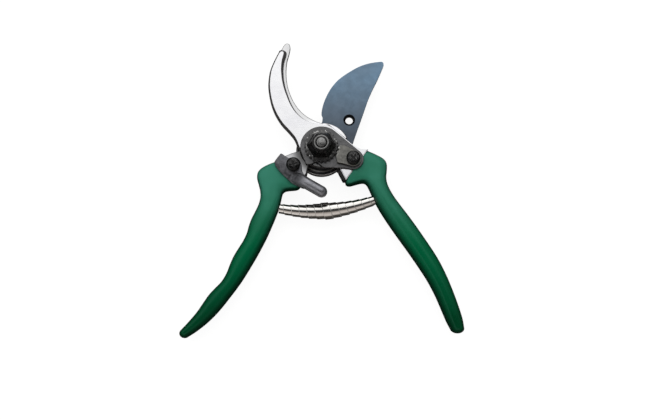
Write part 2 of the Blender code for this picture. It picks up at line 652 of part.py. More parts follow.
# =================================================================================================
# blade side: the body that closes
# =================================================================================================
def handle_forging():
    mouth = mouth_line(LEFT_GRIP, GAP)
    body = turned("handle_body", [(HANDLE_DISC_R - 0.5, Z_HANDLE), (HANDLE_DISC_R, Z_HANDLE + 0.5),
                                  (HANDLE_DISC_R, Z_HANDLE_TOP - 0.5),
                                  (HANDLE_DISC_R - 0.5, Z_HANDLE_TOP)], 64)
    step = arc((0, 0), STEP_R, 190, 233, 10)
    step += STEP_FOOT + [mouth[1], mouth[0]] + STEP_FRONT
    join(body, slab("step", step, Z_HANDLE + 0.01, Z_METAL_TOP, 0.4))
    join(body, make_tang(LEFT_GRIP))
    bore(body, HUB_BORE, Z_HANDLE - PAST, Z_HANDLE_TOP + PAST)
    bore(body, SCREW_R + RUNNING, Z_METAL_TOP - SCREW_DEPTH, Z_METAL_TOP + PAST, LATCH_PIVOT, 20)
    for degrees in RIVET_ANGLES.values():
        centre = polar(RIVET_PITCH_R, degrees)
        bore(body, RIVET_R + RUNNING, Z_HANDLE - PAST, Z_HANDLE_TOP + PAST, centre, 20)
    return finish(body, *POLISHED)


def make_blade():
    edge = curve(BLADE_EDGE_LINE)
    rest = curve(BLADE_TIP + BLADE_SPINE) + BLADE_CORNER
    rest += arc((0, 0), BLADE_HUB_R, -12, -120, 20) + arc((0, 0), BLADE_RELIEF_R, -124, -262, 24)
    outline = edge + rest
    inset = offset(outline, BLADE_BEVEL)
    ground = []
    for k, (p, q) in enumerate(zip(edge, inset)):
        share = min(1.0, k / GRIND_IN, (len(edge) - 1 - k) / GRIND_OUT)
        ground.append(tuple(Vector(p).lerp(Vector(q), share)))
    blade = skin("cutting_blade", [level(ground + rest, Z_BLADE), level(outline, Z_BLADE_TOP - BLADE_EDGE),
                                   level(outline, Z_BLADE_TOP)])
    bore(blade, HUB_BORE, Z_BLADE - PAST, Z_BLADE_TOP + PAST)
    sink = BLADE_SINK_R - BLADE_HOLE_R
    cut(blade, turned("hole", [(BLADE_HOLE_R, Z_BLADE - PAST), (BLADE_HOLE_R, Z_BLADE_TOP - sink),
                               (BLADE_SINK_R + 0.5, Z_BLADE_TOP + 0.5)], 32, BLADE_HOLE))
    for degrees in RIVET_ANGLES.values():
        centre = polar(RIVET_PITCH_R, degrees)
        bore(blade, RIVET_R + RUNNING, Z_BLADE - PAST, Z_BLADE_TOP + PAST, centre, 20)
    return finish(blade, *COATED)


def make_rivet(name, degrees):
    return finish(turned(name, [(RIVET_R, Z_HANDLE + 0.3), (RIVET_R, Z_BLADE_TOP - 0.1)], 20,
                         polar(RIVET_PITCH_R, degrees)), *STEEL)


# =================================================================================================
# latch
# =================================================================================================
def make_latch():
    px, py = LATCH_PIVOT
    shape = curve(LATCH_NOSE, 2) + LATCH_CORNER + curve(LATCH_INNER, 2)
    outline = [(px + x, py + y) for x, y in shape]
    latch = slab("thumb_latch", outline, Z_PLATE, Z_PLATE_TOP, 0.25)

    start, end = Vector(LATCH_PIVOT) + Vector(ROD_START), Vector(LATCH_PIVOT) + Vector(ROD_END)
    along = (end - start).normalized()
    across = Vector((-along.y, along.x))
    low_root, low_free = Z_PLATE_TOP - 0.5, Z_PLATE_TOP + GAP
    reach = (end - start).length
    stations = [station + (low_root,) for station in ROD_IN_PLATE]
    stations += [station + (low_free,) for station in ROD_FREE + [(reach, 1.0, 1.0)]]
    stations += [(reach + ROD_HALF * math.sin(a), math.cos(a), 0.35 + 0.65 * math.cos(a), low_free)
                 for a in map(math.radians, ROD_CAP_ANGLES)]
    rings = []
    for s, width, height, low in stations:
        middle = start + along * s
        half = across * ROD_HALF * width
        ring = []
        for k in range(ROD_SIDES + 1):
            a = math.pi * k / ROD_SIDES
            p = middle + half * math.copysign(abs(math.cos(a)) ** 0.85, math.cos(a))
            rise = (ROD_RISE - ROD_EDGE) * height * math.sin(a) ** 0.9
            ring.append((p.x, p.y, low_free + ROD_EDGE + rise))
        for p in (middle - half * ROD_FOOT, middle + half * ROD_FOOT):
            ring.append((p.x, p.y, low))
        rings.append(ring)
    join(latch, skin("rod", rings))
    bore(latch, SCREW_R + RUNNING, Z_PLATE - PAST, Z_PLATE_TOP + PAST, LATCH_PIVOT, 20)
    return finish(latch, *GUNMETAL)


def make_latch_washer():
    inner, outer = SCREW_R + RUNNING, SCREW_HEAD_R - 0.4
    low = Z_PLATE_TOP + GAP
    return finish(turned("latch_washer", [(inner, low), (outer, low), (outer, low + WASHER),
                                          (inner, low + WASHER)], 24, LATCH_PIVOT, loop=True), *STEEL)


# =================================================================================================
# build
# =================================================================================================
def main():
    for obj in list(bpy.data.objects):
        bpy.data.objects.remove(obj)

    hook_forging()
    drill_for_stud(bpy.data.objects["hook_body"], 1.0)
    make_catch_plate()
    make_lock_segment()
    make_screw("segment_screw", SEGMENT_SCREW, Z_NUT + SEGMENT_THICK + GAP, 45.0)
    make_nut()
    make_bolt()
    make_bushing()
    make_buffer()
    right = make_grip("right_grip", RIGHT_GRIP)
    drill_for_stud(right, 1.0)
    finish(right, *GREEN)
    make_stud("right_spring_stud", 1.0)
    make_spring()

    handle_forging()
    drill_for_stud(bpy.data.objects["handle_body"], 0.0)
    left = make_grip("left_grip", LEFT_GRIP)
    drill_for_stud(left, 0.0)
    finish(left, *GREEN)
    make_stud("left_spring_stud", 0.0)
    make_blade()
    for name, degrees in RIVET_ANGLES.items():
        make_rivet(name, degrees)

    latch_axis = bpy.data.objects.new("latch_axis", None)
    latch_axis.location = Vector(LATCH_PIVOT + (0.0,)) * MM
    bpy.context.scene.collection.objects.link(latch_axis)
    hold(make_latch(), latch_axis)
    hold(make_latch_washer(), latch_axis)
    hold(make_screw("latch_screw", LATCH_PIVOT, Z_PLATE_TOP + 2 * GAP + WASHER, 17.0), latch_axis)


main()
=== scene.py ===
"""Looks for the bypass pruning shears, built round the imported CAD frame.

Lengths in the tables are millimetres, and MM turns them into the frame's metres. Positions inside
the materials are metres in the frame, since each node's object sits at the origin.
"""
import json
import math

import bmesh
import bpy
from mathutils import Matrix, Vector
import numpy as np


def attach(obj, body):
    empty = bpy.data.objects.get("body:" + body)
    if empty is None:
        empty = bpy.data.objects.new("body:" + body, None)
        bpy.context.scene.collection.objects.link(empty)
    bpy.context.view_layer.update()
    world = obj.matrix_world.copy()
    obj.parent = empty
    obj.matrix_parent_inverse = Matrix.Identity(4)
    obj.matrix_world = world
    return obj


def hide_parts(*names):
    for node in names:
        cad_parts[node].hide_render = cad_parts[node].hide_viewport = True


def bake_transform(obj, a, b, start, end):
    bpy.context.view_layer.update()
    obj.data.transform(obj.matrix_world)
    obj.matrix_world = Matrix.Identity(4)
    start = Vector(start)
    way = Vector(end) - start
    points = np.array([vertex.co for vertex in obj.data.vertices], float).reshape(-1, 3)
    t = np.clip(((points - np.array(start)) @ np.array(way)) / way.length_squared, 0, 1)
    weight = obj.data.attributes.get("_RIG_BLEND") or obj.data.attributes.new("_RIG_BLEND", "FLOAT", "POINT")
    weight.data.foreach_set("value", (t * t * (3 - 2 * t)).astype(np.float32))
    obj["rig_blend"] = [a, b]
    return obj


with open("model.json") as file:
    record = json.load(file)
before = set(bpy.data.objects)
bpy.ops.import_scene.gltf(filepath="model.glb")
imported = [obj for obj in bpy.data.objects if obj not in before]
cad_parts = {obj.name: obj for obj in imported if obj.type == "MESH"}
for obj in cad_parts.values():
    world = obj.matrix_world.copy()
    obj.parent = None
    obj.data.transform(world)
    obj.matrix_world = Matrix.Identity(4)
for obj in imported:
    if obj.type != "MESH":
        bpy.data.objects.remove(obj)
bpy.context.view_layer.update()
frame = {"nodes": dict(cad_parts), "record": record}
nodes = frame["nodes"]

MM = 0.001
SEGMENT_SCREW = (19.8, -8.0)
LATCH_PIVOT = (-17.4, -11.8)
LATCH_SCREW_TOP = 21.4
SEGMENT_SCREW_HIGHER = 1.4        # than the latch's screw
BLADE_HOLE = (17.6, 19.4)
FACE_NORMAL = (0.651, 0.758)      # across the straight edge of the hook's face beside the plate


# =================================================================================================
# node helpers
# =================================================================================================
class Graph:
    """A node tree under construction, with the sums that materials and the world share."""

    def __init__(self, tree):
        self.nodes = tree.nodes
        self.links = tree.links

    def spread(self, value, low, high, to_low=0.0, to_high=1.0):
        """A smooth step: to_low where the value is at low, to_high where it is at high."""
        node = self.nodes.new("ShaderNodeMapRange")
        node.interpolation_type = "SMOOTHSTEP"
        for name, number in (("From Min", low), ("From Max", high), ("To Min", to_low), ("To Max", to_high)):
            node.inputs[name].default_value = number
        self.links.new(value, node.inputs["Value"])
        return node.outputs["Result"]

    def math(self, operation, a, b):
        """One operation on two values, each a number or a socket."""
        node = self.nodes.new("ShaderNodeMath")
        node.operation = operation
        for socket, value in zip(node.inputs, (a, b)):
            if isinstance(value, (int, float)):
                socket.default_value = value
            else:
                self.links.new(value, socket)
        return node.outputs[0]


class Shader(Graph):
    """A material under construction. Further keywords set the shader's own sockets."""

    def __init__(self, name, roughness, metallic=0.0, **sockets):
        self.material = bpy.data.materials.new(name)
        self.material.use_nodes = True
        super().__init__(self.material.node_tree)
        self.out = self.nodes["Principled BSDF"]
        self.out.inputs["Roughness"].default_value = roughness
        self.out.inputs["Metallic"].default_value = metallic
        for socket, value in sockets.items():
            self.out.inputs[socket.replace("_", " ")].default_value = value
        self.place = self.nodes.new("ShaderNodeTexCoord").outputs["Object"]

    def stretched(self, x, y, z, turn=0.0):
        """Object coordinates scaled along each axis, after a turn about Z in degrees."""
        node = self.nodes.new("ShaderNodeMapping")
        node.inputs["Scale"].default_value = (x, y, z)
        node.inputs["Rotation"].default_value = (0, 0, math.radians(turn))
        self.links.new(self.place, node.inputs["Vector"])
        return node.outputs["Vector"]

    def noise(self, scale, detail=4.0, rough=0.55, vector=None):
        """Fractal noise, a half on average."""
        node = self.nodes.new("ShaderNodeTexNoise")
        node.inputs["Scale"].default_value = scale
        node.inputs["Detail"].default_value = detail
        node.inputs["Roughness"].default_value = rough
        self.links.new(vector or self.place, node.inputs["Vector"])
        return node.outputs["Fac"]

    def mix(self, share, a, b):
        """Colour a, or colour b where share is one."""
        node = self.nodes.new("ShaderNodeMix")
        node.data_type = "RGBA"
        for name, value in (("Factor", share), ("A", a), ("B", b)):
            socket = next(s for s in node.inputs if s.name == name and s.type in ("VALUE", "RGBA")
                          and (s.type == "RGBA") == (name != "Factor") and s.enabled)
            if isinstance(value, tuple):
                socket.default_value = value + (1.0,)
            else:
                self.links.new(value, socket)
        return next(s for s in node.outputs if s.type == "RGBA" and s.enabled)

    def axis(self, letter, source="place"):
        """One coordinate of the point, or of the surface's direction."""
        node = self.nodes.new("ShaderNodeSeparateXYZ")
        if source == "place":
            self.links.new(self.place, node.inputs[0])
        else:
            self.links.new(self.nodes.new("ShaderNodeNewGeometry").outputs["Normal"], node.inputs[0])
        return node.outputs[letter]

    def distance_from(self, x, y):
        """Distance in metres from an upright axis through x, y in millimetres."""
        node = self.nodes.new("ShaderNodeVectorMath")
        node.operation = "DISTANCE"
        flat = self.nodes.new("ShaderNodeVectorMath")
        flat.operation = "MULTIPLY"
        flat.inputs[1].default_value = (1, 1, 0)
        self.links.new(self.place, flat.inputs[0])
        self.links.new(flat.outputs["Vector"], node.inputs[0])
        node.inputs[1].default_value = (x * MM, y * MM, 0)
        return node.outputs["Value"]

    def colour(self, value):
        """Links the base colour."""
        self.links.new(value, self.out.inputs["Base Color"])

    def roughness(self, value):
        """Links the roughness."""
        self.links.new(value, self.out.inputs["Roughness"])

    def bump(self, height, distance, strength):
        """A bump of a height in millimetres."""
        node = self.nodes.new("ShaderNodeBump")
        node.inputs["Strength"].default_value = strength
        node.inputs["Distance"].default_value = distance * MM
        self.links.new(height, node.inputs["Height"])
        self.links.new(node.outputs["Normal"], self.out.inputs["Normal"])


# =================================================================================================
# materials
# =================================================================================================
# Where each look begins and where it is full. Heights and distances are metres.
FACES_UP = (0.72, 0.96)            # upward part of the normal: from walls to flat faces
JAW_STRIP_Z = (0.0142, 0.0134)     # the thin strip along the inside of the jaw lies below this
JAW_FROM_Y = (0.0165, 0.0200)
FOOT_LINE = (0.0152, 0.0148)       # across the foot of the hook's face
FOOT_FROM_X = (0.002, 0.006)
FOOT_Z = (0.0136, 0.0134)
HUB_SHADE_Y = (-0.0070, -0.0085)
HUB_SHADE_R = (0.0136, 0.0131)
STEP_SHADE_R = (0.0205, 0.0145)
BLADE_Y = (0.004, 0.052)           # from the blade's heel to its tip
BLADE_HUB_R = (0.0175, 0.0150)
HOLE_RIM_R = (0.0039, 0.0036)
HEAD_Y = (-0.066, -0.020)          # towards the head of a grip
FOOT_Y = (-0.058, -0.112)          # towards its lower end
GRIP_TOP = (0.10, 0.88)            # upward part of the normal, from its side to its top
PLATE_FACE = (0.02, 0.30)
KEEPER_TEETH_R = (0.0124, 0.0108)
# The rod's painted highlight, measured from the latch's screw.
ROD_HIGHLIGHT_R = (0.008, 0.015)      # from the latch's screw
FLANGE_Z = (0.0210, 0.0204)
COLLAR_Z = (0.0270, 0.0279)
CROWN_R = (0.0038, 0.0032)         # from a screw's middle
CROSS_R = (0.0031, 0.0028)
CROSS_FLOOR = (0.0002, 0.0008)     # below a screw's top
CROSS_WALL = (0.00002, 0.0001)
CROSS_STEEP = (0.8, 0.4)
STRIP_EDGE = (0.30, 0.55)          # lengthwise part of the normal, on the spring's cut edges


def polished_alloy(name, light, shaded):
    """Polished forging: bright on flat faces; painted shade darkens its walls and the places passed in as
    shaded, and a painted shadow line lies at the foot of the hook's face.
    """
    s = Shader(name, 0.2, 1.0)
    up = s.spread(s.axis("Z", "normal"), *FACES_UP)
    grain = s.noise(60, 5, 0.6, s.stretched(4, 120, 40, 25))
    cloud = s.spread(s.noise(70, 3), 0.35, 0.7)
    face = s.mix(cloud, (light, light, 1.015 * light), (0.93 * light, 0.93 * light, 0.96 * light))
    ground = s.math("MULTIPLY", s.spread(s.axis("Z"), *JAW_STRIP_Z), s.spread(s.axis("Y"), *JAW_FROM_Y))
    face = s.mix(s.math("MULTIPLY", ground, 0.8), face, (0.66, 0.66, 0.66))
    face = s.mix(shaded(s), face, (0.13, 0.13, 0.13))
    face = s.mix(foot_shadow(s), face, (0.05, 0.05, 0.05))
    # Painted shade: the walls get a darker, mottled grey than the flat faces.
    wall = s.mix(s.spread(s.noise(900, 3), 0.4, 0.65), (0.34, 0.34, 0.345), (0.54, 0.53, 0.53))
    s.colour(s.mix(up, wall, face))
    s.roughness(s.math("ADD", s.spread(grain, 0.3, 0.7, 0.0, 0.10), s.spread(up, 0, 1, 0.40, 0.17)))
    s.bump(s.math("ADD", s.noise(1500, 2), s.math("MULTIPLY", grain, 0.5)), 0.008, 0.5)
    return s.material


def foot_shadow(s):
    """A painted shadow line on the thin disc, along the foot of the hook's face beside the plate."""
    along = s.nodes.new("ShaderNodeVectorMath")
    along.operation = "DOT_PRODUCT"
    along.inputs[1].default_value = FACE_NORMAL + (0.0,)
    s.links.new(s.place, along.inputs[0])
    line = s.spread(along.outputs["Value"], *FOOT_LINE)
    line = s.math("MULTIPLY", line, s.spread(s.axis("X"), *FOOT_FROM_X))
    return s.math("MULTIPLY", line, s.spread(s.axis("Z"), *FOOT_Z))


def shaded_hub(s):
    """Where the hook's hub shows below the catch plate."""
    low = s.spread(s.axis("Y"), *HUB_SHADE_Y)
    return s.math("MULTIPLY", low, s.spread(s.distance_from(0, 0), *HUB_SHADE_R))


def shaded_step(s):
    """Painted shade on the handle's step, full close to the hub."""
    return s.spread(s.distance_from(0, 0), *STEP_SHADE_R)


def blade_coating():
    """Blue-grey non-stick coating, satin; a painted reflection lightens it towards the tip and painted shade
    darkens its hub.
    """
    s = Shader("blade_coating", 0.36, 0.6)
    # Painted reflection: the colour lightens from the heel to the tip.
    rise = s.spread(s.axis("Y"), *BLADE_Y)
    base = s.mix(rise, (0.092, 0.112, 0.142), (0.20, 0.325, 0.46))
    cloud = s.spread(s.noise(45, 4), 0.35, 0.7)
    base = s.mix(s.math("MULTIPLY", cloud, 0.30), base, (0.17, 0.21, 0.26))
    # Painted shade on the hub, below the plates.
    hub = s.spread(s.distance_from(0, 0), *BLADE_HUB_R)
    base = s.mix(hub, base, (0.035, 0.035, 0.038))
    rim = s.spread(s.distance_from(*BLADE_HOLE), *HOLE_RIM_R)
    s.colour(s.mix(rim, base, (0.004, 0.004, 0.006)))
    s.roughness(s.spread(s.noise(260, 4), 0.3, 0.7, 0.30, 0.44))
    s.bump(s.noise(2400, 2), 0.006, 0.5)
    return s.material


def green_vinyl():
    """Thick dipped vinyl: deep green and glossy, with orange peel; painted light makes it paler at the head,
    painted shade darker at its lower end and on its sides.
    """
    s = Shader("green_vinyl", 0.3, Specular_IOR_Level=0.30, Specular_Tint=(0.35, 1.0, 0.80, 1.0))
    # Painted light towards the head and painted shade towards the lower end.
    head = s.spread(s.axis("Y"), *HEAD_Y)
    foot = s.spread(s.axis("Y"), *FOOT_Y)
    cloud = s.math("MULTIPLY", s.spread(s.noise(34, 4), 0.35, 0.7), 0.4)
    base = s.mix(head, (0.0003, 0.165, 0.063), (0.050, 0.285, 0.190))
    base = s.mix(foot, base, (0.0003, 0.060, 0.019))
    base = s.mix(cloud, base, (0.0003, 0.125, 0.045))
    # Painted shade: the sides, where the normal turns away from up, get a near-black green.
    top = s.spread(s.axis("Z", "normal"), *GRIP_TOP)
    s.colour(s.mix(top, (0.0, 0.034, 0.013), base))
    gloss = s.spread(top, 0, 1, 0.50, 0.17)
    s.roughness(s.math("ADD", s.spread(s.noise(160, 3), 0.3, 0.7, 0.0, 0.10), gloss))
    s.bump(s.math("ADD", s.noise(350, 2), s.math("MULTIPLY", s.noise(90, 2), 1.5)), 0.05, 0.35)
    return s.material


def dark_plate(name, light, tint, painted_highlight=0.0, worn_teeth=False):
    """Phosphated steel plate: mottled dark grey with painted shade on its walls; worn bright at its teeth,
    and given a painted highlight along the latch's rod, if asked.
    """
    s = Shader(name, 0.36, 0.8)
    mottle = s.spread(s.noise(420, 5, 0.65), 0.35, 0.66)
    patch = s.spread(s.noise(110, 3), 0.35, 0.7)
    low = tuple(light * 0.60 * c for c in tint)
    high = tuple(light * 1.35 * c for c in tint)
    base = s.mix(mottle, low, high)
    base = s.mix(s.math("MULTIPLY", patch, 0.5), base, tuple(light * 0.8 * c for c in tint))
    if worn_teeth:
        teeth = s.spread(s.distance_from(0, 0), *KEEPER_TEETH_R)
        worn = s.math("MULTIPLY", teeth, s.spread(s.noise(600, 3), 0.42, 0.60))
        base = s.mix(worn, base, (0.62, 0.62, 0.60))
    # Painted highlight: the rod, away from the latch's screw, is coloured lighter.
    if painted_highlight:
        reach = s.spread(s.distance_from(*LATCH_PIVOT), *ROD_HIGHLIGHT_R)
        base = s.mix(reach, base, tuple(painted_highlight * c for c in tint))
    # Painted shade: the plate's walls get a near-black grey.
    side = s.spread(s.axis("Z", "normal"), *PLATE_FACE)
    s.colour(s.mix(side, (0.03, 0.03, 0.031), base))
    s.roughness(s.spread(mottle, 0, 1, 0.28, 0.46))
    s.bump(s.math("ADD", s.noise(1300, 3), s.noise(420, 2)), 0.02, 0.7)
    return s.material


def black_steel():
    """Blackened steel with a fine crystalline mottle; painted highlights with glints on the flange, and a
    painted highlight on the collar's top where the pivot stands proud.
    """
    s = Shader("black_steel", 0.24, 0.8, Coat_Weight=0.2, Coat_Roughness=0.15)
    cloud = s.spread(s.noise(620, 5, 0.65), 0.44, 0.68)
    base = s.mix(cloud, (0.008, 0.008, 0.008), (0.045, 0.044, 0.042))
    # Painted highlight on the flange, with painted glints.
    flange = s.spread(s.axis("Z"), *FLANGE_Z)
    base = s.mix(s.math("MULTIPLY", flange, 0.45), base, (0.17, 0.17, 0.17))
    flange_glints = s.spread(s.noise(520, 4), 0.54, 0.66)
    base = s.mix(s.math("MULTIPLY", flange, flange_glints), base, (0.42, 0.42, 0.41))
    # Painted highlight on the collar's top.
    painted_highlight = s.spread(s.axis("Z"), *COLLAR_Z)
    patchy = s.spread(s.noise(800, 3), 0.25, 0.6, 0.55, 1.0)
    s.colour(s.mix(s.math("MULTIPLY", painted_highlight, patchy), base, (0.30, 0.30, 0.295)))
    s.roughness(s.spread(s.noise(900, 3), 0.3, 0.7, 0.20, 0.36))
    s.bump(s.math("ADD", s.noise(1800, 2), s.noise(600, 3)), 0.02, 0.6)
    return s.material


def screw_black():
    """Black screw heads, glossy with oil: painted glints on the crown, painted shade in the cross's floor
    and painted highlights on the cross's walls.
    """
    s = Shader("screw_black", 0.16, 0.8, Coat_Weight=0.3, Coat_Roughness=0.10)
    to_segment, to_latch = s.distance_from(*SEGMENT_SCREW), s.distance_from(*LATCH_PIVOT)
    nearest = s.math("MINIMUM", to_segment, to_latch)
    # Painted glints on the crown.
    crown = s.spread(nearest, *CROWN_R)
    glint = s.spread(s.noise(900, 3), 0.40, 0.62)
    base = s.mix(s.math("MULTIPLY", crown, glint), (0.004, 0.004, 0.004), (0.050, 0.050, 0.050))
    cross = s.spread(nearest, *CROSS_R)
    higher = s.math("MULTIPLY", s.math("LESS_THAN", to_segment, to_latch), SEGMENT_SCREW_HIGHER * MM)
    depth = s.math("SUBTRACT", s.math("ADD", higher, LATCH_SCREW_TOP * MM), s.axis("Z"))
    # Painted shade on the floor of the cross.
    cross_shade = s.math("MULTIPLY", cross, s.spread(depth, *CROSS_FLOOR))
    # Painted highlight on the walls of the cross, which are also less metallic.
    wall = s.math("MULTIPLY", s.math("MULTIPLY", cross, s.spread(depth, *CROSS_WALL)),
                  s.spread(s.axis("Z", "normal"), *CROSS_STEEP))
    base = s.mix(cross_shade, base, (0.001, 0.001, 0.001))
    s.colour(s.mix(wall, base, (0.65, 0.65, 0.64)))
    s.links.new(s.spread(wall, 0.0, 1.0, 0.8, 0.15), s.out.inputs["Metallic"])
    s.roughness(s.spread(s.noise(900, 3), 0.3, 0.7, 0.12, 0.24))
    s.bump(s.noise(900, 3), 0.02, 0.5)
    return s.material


def spring_steel():
    """Bright strip with a warm drawn finish, matt on the strip's cut edges."""
    s = Shader("spring_steel", 0.16, 1.0)
    streak = s.noise(50, 4, 0.6, s.stretched(10, 160, 160))
    base = s.mix(s.spread(streak, 0.35, 0.65), (0.80, 0.77, 0.73), (0.90, 0.89, 0.86))
    cut = s.spread(s.math("ABSOLUTE", s.axis("X", "normal"), 0), *STRIP_EDGE)
    s.colour(s.mix(cut, base, (0.70, 0.68, 0.65)))
    s.links.new(s.spread(cut, 0.0, 1.0, 1.0, 0.25), s.out.inputs["Metallic"])
    s.roughness(s.spread(s.noise(700, 3), 0.3, 0.7, 0.10, 0.18))
    s.bump(streak, 0.006, 0.3)
    return s.material


def bronze():
    """Sintered bushing bronze, slightly grainy."""
    s = Shader("bronze", 0.4, 1.0)
    s.colour(s.mix(s.spread(s.noise(900, 4), 0.35, 0.65), (0.42, 0.26, 0.11), (0.55, 0.36, 0.17)))
    s.bump(s.noise(2500, 2), 0.01, 0.5)
    return s.material


def rubber():
    """Matt black rubber."""
    s = Shader("rubber", 0.7)
    s.colour(s.mix(s.spread(s.noise(600, 4), 0.35, 0.65), (0.010, 0.010, 0.010), (0.028, 0.028, 0.027)))
    s.bump(s.noise(1400, 3), 0.03, 0.6)
    return s.material


LOOKS = {
    "polished_alloy": polished_alloy("polished_alloy", 0.93, shaded_hub),
    # A darker copy of the polished alloy for the handle: painted shade, since it lies below the hook.
    "shaded_handle_alloy": polished_alloy("shaded_handle_alloy", 0.62, shaded_step),
    "coated_blade": blade_coating(),
    "green_vinyl": green_vinyl(),
    "dark_plate": dark_plate("dark_plate", 0.165, (1.0, 1.0, 1.02)),
    "keeper_plate": dark_plate("keeper_plate", 0.22, (1.04, 1.03, 0.95), worn_teeth=True),
    "latch_plate": dark_plate("latch_plate", 0.165, (0.97, 0.98, 1.06)),
    # A lit copy of the latch plate: the rod carries a painted highlight.
    "latch_rod": dark_plate("latch_rod", 0.165, (0.97, 0.98, 1.06), 0.34),
    "black_steel": black_steel(),
    "screw_black": screw_black(),
    "spring_steel": spring_steel(),
    "bronze": bronze(),
    "rubber": rubber(),
}


# =================================================================================================
# mesh helpers
# =================================================================================================
def curve(points, steps=3):
    """Points along a smooth curve through the ones given, in two or more dimensions."""
    ends = [points[0]] + list(points) + [points[-1]]
    out = []
    for a, b, c, d in zip(ends, ends[1:], ends[2:], ends[3:]):
        for i in range(steps):
            t = i / steps
            out.append(tuple(
                0.5 * (2 * q + (r - p) * t + (2 * p - 5 * q + 4 * r - s) * t * t
                       + (3 * q - p - 3 * r + s) * t ** 3)
                for p, q, r, s in zip(a, b, c, d)))
    return out + [tuple(points[-1])]


def skin(name, rings, look, loop=False, smooth=40):
    """A piece skinned over rings of points in millimetres; open ends are capped."""
    bm = bmesh.new()
    rows = [[bm.verts.new([v * MM for v in p]) for p in ring] for ring in rings]
    pairs = list(zip(rows, rows[1:]))
    if loop:
        pairs.append((rows[-1], rows[0]))
    else:
        bm.faces.new(rows[0])
        bm.faces.new(rows[-1])
    for a, b in pairs:
        for i in range(len(a)):
            j = (i + 1) % len(a)
            bm.faces.new((a[i], a[j], b[j], b[i]))
    bmesh.ops.recalc_face_normals(bm, faces=bm.faces)
    mesh = bpy.data.meshes.new(name)
    bm.to_mesh(mesh)
    bm.free()
    obj = bpy.data.objects.new(name, mesh)
    bpy.context.scene.collection.objects.link(obj)
    mesh.materials.append(LOOKS[look])
    mesh.shade_smooth()
    mesh.set_sharp_from_angle(angle=math.radians(smooth))
    return obj


# =================================================================================================
# CAD nodes that keep their shape
# =================================================================================================
# Radius given to the sharp edges of each node that keeps its own shape.
ROUNDED = {
    "hook_body": 0.16, "handle_body": 0.20, "cutting_blade": 0.10, "catch_plate": 0.16,
    "lock_segment": 0.12, "segment_screw": 0.10, "latch_screw": 0.10, "rubber_buffer": 0.15,
    "latch_washer": 0.06,
}


# Points closer than this are one point, before the edges are rounded.
WELD = {"handle_body": 0.02}
USUAL_WELD = 0.01
FLAT_ANGLE = 0.5       # degrees: faces that bend less are joined into one
ROUND_ANGLE = 28.0     # degrees: edges that bend more are rounded


def soften(obj, width, weld_distance):
    """Rounds a CAD node's sharp edges a little, so that they catch the light."""
    weld = obj.modifiers.new("weld", "WELD")
    weld.merge_threshold = weld_distance * MM
    flat = obj.modifiers.new("flat", "DECIMATE")
    flat.decimate_type = "DISSOLVE"
    flat.angle_limit = math.radians(FLAT_ANGLE)
    bevel = obj.modifiers.new("round", "BEVEL")
    bevel.width = width * MM
    bevel.segments = 2
    bevel.limit_method = "ANGLE"
    bevel.angle_limit = math.radians(ROUND_ANGLE)


# Nodes whose look differs from the usual one of their slot.
OWN_LOOK = {
    "lock_segment": "keeper_plate", "handle_body": "shaded_handle_alloy", "segment_screw": "screw_black",
    "latch_screw": "screw_black",
}


def dress_nodes():
    """Gives every CAD node its look, and softens the ones that stay in sight."""
    slots = {part["node"]: part["material_slot"] for part in frame["record"]["subparts"]}
    for name, obj in nodes.items():
        look = OWN_LOOK.get(name, slots[name])
        obj.data.materials.clear()
        obj.data.materials.append(LOOKS[look])
        if name in ROUNDED:
            soften(obj, ROUNDED[name], WELD.get(name, USUAL_WELD))


# =================================================================================================
# grips
# =================================================================================================
GRIP_MID_Z = 9.3
GRIP_HALF = (6.6, 8.7, 6.0)       # half thickness at the mouth, the middle and the end
GRIP_RISE = (0.20, 0.50)          # shares of a grip's length between which it thickens
GRIP_SIDES = 48
GRIP_WALL = 1.7
GRIP_CAP = 3.2
GRIP_STEPS = 4                    # sections from one outline point to the next
GRIP_LIP = 0.5                    # rounding of the mouth's rim
GRIP_RIM = 0.12                   # the rim's last small step
GRIP_MOUTH_DEPTH = 3              # sections from the rim to the end of the mouth's inside
GRIP_TAIL_ANGLES = (12, 24, 36, 48, 59, 69, 78, 85)
GRIP_POWERS = (2.3, 1.9, 0.42)    # squareness, what the mouth adds to it, and how far that reaches
GRIP_SHY = 0.15                   # how far the sleeve's sides stay inside the CAD outline
RIGHT_OUTER = [(29.4, -1.2), (34.7, -3.6), (39.2, -6.2), (41.1, -9.2), (41.2, -13.5), (40.8, -18.0),
               (41.6, -22.6), (44.2, -28.2), (47.9, -33.9), (52.9, -40.7), (58.3, -48.3), (65.2, -58.7),
               (71.5, -68.8), (76.5, -79.0), (80.5, -89.2), (83.6, -98.3), (85.9, -106.2), (86.7, -111.6)]
RIGHT_INNER = [(15.5, -20.8), (15.0, -22.3), (17.0, -23.2), (20.3, -22.4), (23.6, -21.4), (26.4, -21.3),
               (28.5, -23.3), (31.2, -29.3), (34.4, -36.2), (39.1, -44.2), (45.4, -53.8), (52.9, -64.6),
               (59.4, -74.4), (64.5, -82.6), (69.0, -91.4), (72.8, -100.6), (75.7, -107.8), (78.0, -112.4)]
LEFT_OUTER = [(-27.8, -7.8), (-32.9, -9.7), (-37.4, -12.1), (-39.9, -14.8), (-40.4, -18.5), (-39.4, -22.5),
              (-38.4, -26.6), (-38.2, -30.8), (-39.3, -35.3), (-41.4, -40.0), (-43.6, -44.5),
              (-45.2, -49.1), (-46.3, -53.5), (-48.4, -58.2), (-51.3, -63.0), (-54.2, -68.0),
              (-56.4, -73.2), (-58.4, -78.6), (-61.3, -83.6), (-65.2, -87.7), (-68.9, -91.8),
              (-72.2, -96.7), (-76.0, -102.4), (-80.8, -108.2), (-85.0, -112.8)]
